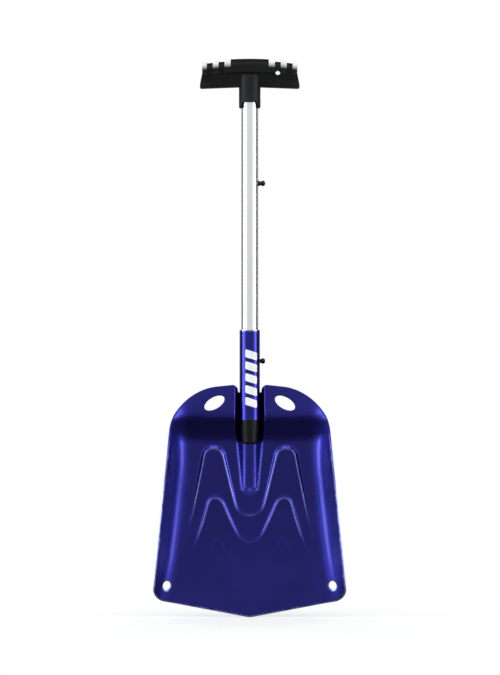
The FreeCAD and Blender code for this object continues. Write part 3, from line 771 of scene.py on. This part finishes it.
def printed_film():
    """Pale screen-printed ink with a little wear."""
    look = Look("pale_ink")
    worn = look.range(look.noise(900, 5, 0.7), 0.66, 0.74)
    cloud = look.noise(120, 3)
    colour = look.mix(look.range(cloud, 0.3, 0.7), (0.72, 0.72, 0.74), (0.82, 0.82, 0.83))
    look.set("Base Color", look.mix(look.math("MULTIPLY", worn, 0.3), colour, (0.3, 0.3, 0.45)))
    look.set("Roughness", look.range(cloud, 0.3, 0.7, 0.42, 0.52))
    look.bump(look.noise(3000, 2), 0.1, 0.00003)
    return look.material


def paint(thing, material):
    """Gives an object made here its material."""
    thing.data.materials.clear()
    thing.data.materials.append(material)


def paint_node(name, material):
    """Gives a CAD node its material."""
    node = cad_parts[name]
    for material_slot in node.material_slots:
        material_slot.material = material


# ---- building -----------------------------------------------------------------------------------

scoop = make_scoop()
bars = make_sleeve_bars()

paint(scoop, scoop_blue())
paint(bars, printed_film())
paint_node("lower_sleeve", sleeve_blue())
paint_node("shaft_tube", bare_tube())
plug_plastic = moulded("plug_moulded", BLACK, (0.005, 0.005, 0.0045), 0.42, 0.0006)
grip_plastic = moulded("grip_moulded", BLACK, (0.005, 0.005, 0.005), 0.5, 0.001)
paint_node("shaft_end_plug", plug_plastic)
paint_node("grip_body", grip_plastic)
paint_node("grip_ribs", ribbed_rubber())
steel = dark_steel()
paint_node("lower_snap_pin", steel)
paint_node("upper_snap_pin", steel)
rivet = plain_metal("rivet_metal", (0.5, 0.5, 0.51), (0.66, 0.66, 0.67), 0.35)
paint_node("sleeve_rivets", rivet)
paint_node("grip_rivet", rivet)
spring = plain_metal("spring_metal", (0.3, 0.3, 0.32), (0.45, 0.45, 0.47), 0.3)
paint_node("lower_leaf_spring", spring)
paint_node("upper_leaf_spring", spring)


# ---- stage, light and camera --------------------------------------------------------------------

CENTRE = Vector((0, 0, 0.4075))
# Grey against the height of a direction, from straight down at 0 to straight up at 1.
ROOM_BY_HEIGHT = [(0.0, 0.12), (0.2, 0.16), (0.32, 0.75), (0.5, 0.85), (0.6, 1.0)]
# Grey against how far a direction points back, from the camera at 0 to straight behind at 1.
ROOM_BY_DEPTH = [
    (0.0, 0.88),
    (0.25, 1.0),
    (0.41, 1.0),
    (0.49, 0.18),
    (0.58, 0.02),
    (0.78, 0.15),
    (1.0, 0.9),
]
ROOM_STRENGTH = 0.85

FLOOR_REACH = 6
FLOOR_GREYS = (0.86, 0.9)
FLOOR_FADE = (0.1, 0.5)  # distances from the tip over which the floor turns to plain white
FLOOR_WHITE_AT_TIP = 0.6

CAMERA_DISTANCE = 5.0
CAMERA_ASIDE = 0.0004
VIEW_TALL = 0.9788
SENSOR = 36

WHITE = (1, 1, 1)
COOL = (0.93, 1.0, 1.03)
# Each light's name, azimuth, elevation, distance, size, power and colour.
LIGHTS = [
    ("left_softbox", -80, 2.3, 1.8, (0.4, 1.8), 21, COOL),
    ("left_fill", -61, 4, 1.8, (0.5, 1.6), 10, COOL),
    ("right_softbox", 74, 2.3, 1.8, (0.4, 1.8), 15, COOL),
    ("right_fill", 60, 4, 1.8, (0.4, 1.6), 8, COOL),
    ("top_softbox", 0, 62, 1.8, (1.2, 0.6), 9, WHITE),
    ("back_left_softbox", -140, 35, 2.2, (1.0, 1.0), 12, WHITE),
    ("back_right_softbox", 140, 35, 2.2, (1.0, 1.0), 12, WHITE),
]


def make_floor():
    """A pale floor that blends into the white background away from the object."""
    far = FLOOR_REACH
    corners = [(-far, -far, 0), (far, -far, 0), (far, far, 0), (-far, far, 0)]
    floor = new_mesh("floor", corners, [(0, 1, 2, 3)], False)
    look = Look("pale_floor")
    darker, lighter = FLOOR_GREYS
    cloud = look.range(look.noise(3, 4), 0.3, 0.7)
    look.set("Base Color", look.mix(cloud, (darker,) * 3, (lighter,) * 3))
    look.set("Roughness", 0.8)
    flat = look.nodes.new("ShaderNodeVectorMath")
    flat.operation = "LENGTH"
    look.put(flat.inputs[0], look.place)
    away = look.range(flat.outputs["Value"], *FLOOR_FADE, FLOOR_WHITE_AT_TIP, 1.0)
    glow = look.nodes.new("ShaderNodeEmission")
    blend = look.nodes.new("ShaderNodeMixShader")
    look.put(blend.inputs["Fac"], away)
    look.links.new(look.surface.outputs[0], blend.inputs[1])
    look.links.new(glow.outputs[0], blend.inputs[2])
    look.links.new(blend.outputs[0], look.output.inputs[0])
    paint(floor, look.material)
    floor.visible_glossy = False
    floor.visible_diffuse = False
    floor.visible_shadow = False
    return floor


def add_light(name, azimuth, elevation, distance, size, power, colour):
    """A rectangular soft light aimed at the middle of the object. Azimuth 0 is the camera's side."""
    light = bpy.data.lights.new(name, "AREA")
    light.shape = "RECTANGLE"
    light.size, light.size_y = size
    light.energy = power
    light.color = colour
    lamp = bpy.data.objects.new(name, light)
    a, e = math.radians(azimuth), math.radians(elevation)
    away = Vector((math.sin(a) * math.cos(e), -math.cos(a) * math.cos(e), math.sin(e)))
    lamp.location = CENTRE + away * distance
    lamp.rotation_euler = away.to_track_quat("Z", "Y").to_euler()
    bpy.context.scene.collection.objects.link(lamp)
    return lamp


def ramp(nodes, links, value, points):
    """A smooth grey ramp through (position, grey) points."""
    node = nodes.new("ShaderNodeValToRGB")
    node.color_ramp.interpolation = "EASE"
    elements = node.color_ramp.elements
    while len(elements) < len(points):
        elements.new(0.5)
    for element, (position, grey) in zip(elements, points):
        element.position = position
        element.color = (grey, grey, grey, 1)
    links.new(value, node.inputs["Fac"])
    return node.outputs["Color"]


def from_zero(nodes, links, value):
    """One part of a direction, which runs from -1 to 1, as 0 to 1."""
    node = nodes.new("ShaderNodeMapRange")
    node.inputs["From Min"].default_value = -1.0
    links.new(value, node.inputs["Value"])
    return node.outputs[0]


def room_grey(nodes, links):
    """What a reflection meets in a direction: a grey by height times a grey by depth."""
    parts = nodes.new("ShaderNodeSeparateXYZ")
    links.new(nodes.new("ShaderNodeTexCoord").outputs["Generated"], parts.inputs[0])
    height = from_zero(nodes, links, parts.outputs["Z"])
    depth = from_zero(nodes, links, parts.outputs["Y"])
    product = nodes.new("ShaderNodeMix")
    product.data_type = "RGBA"
    product.blend_type = "MULTIPLY"
    product.inputs["Factor"].default_value = 1.0
    links.new(ramp(nodes, links, height, ROOM_BY_HEIGHT), product.inputs[6])
    links.new(ramp(nodes, links, depth, ROOM_BY_DEPTH), product.inputs[7])
    return product.outputs[2]


def make_world():
    """White behind the object. Reflections see a pale room, which is dark low down and just
    behind the object's sides."""
    world = bpy.data.worlds.new("studio")
    world.use_nodes = True
    nodes, links = world.node_tree.nodes, world.node_tree.links
    nodes.clear()
    output = nodes.new("ShaderNodeOutputWorld")
    mix = nodes.new("ShaderNodeMixShader")
    path = nodes.new("ShaderNodeLightPath")
    room, backdrop = nodes.new("ShaderNodeBackground"), nodes.new("ShaderNodeBackground")
    links.new(room_grey(nodes, links), room.inputs["Color"])
    room.inputs["Strength"].default_value = ROOM_STRENGTH
    backdrop.inputs["Color"].default_value = (*WHITE, 1)
    backdrop.inputs["Strength"].default_value = 1.0
    links.new(path.outputs["Is Camera Ray"], mix.inputs["Fac"])
    links.new(room.outputs[0], mix.inputs[1])
    links.new(backdrop.outputs[0], mix.inputs[2])
    links.new(mix.outputs[0], output.inputs[0])
    bpy.context.scene.world = world


def make_camera():
    """A long lens straight in front of the object."""
    camera = bpy.data.cameras.new("camera")
    camera.sensor_width = SENSOR
    camera.lens = SENSOR * CAMERA_DISTANCE / VIEW_TALL
    holder = bpy.data.objects.new("camera", camera)
    holder.location = (CAMERA_ASIDE, -CAMERA_DISTANCE, CENTRE.z)
    holder.rotation_euler = (math.radians(90), 0, 0)
    bpy.context.scene.collection.objects.link(holder)
    bpy.context.scene.camera = holder


make_floor()
make_world()
make_camera()
for light_values in LIGHTS:
    add_light(*light_values)
bpy.context.scene.view_settings.view_transform = "Standard"
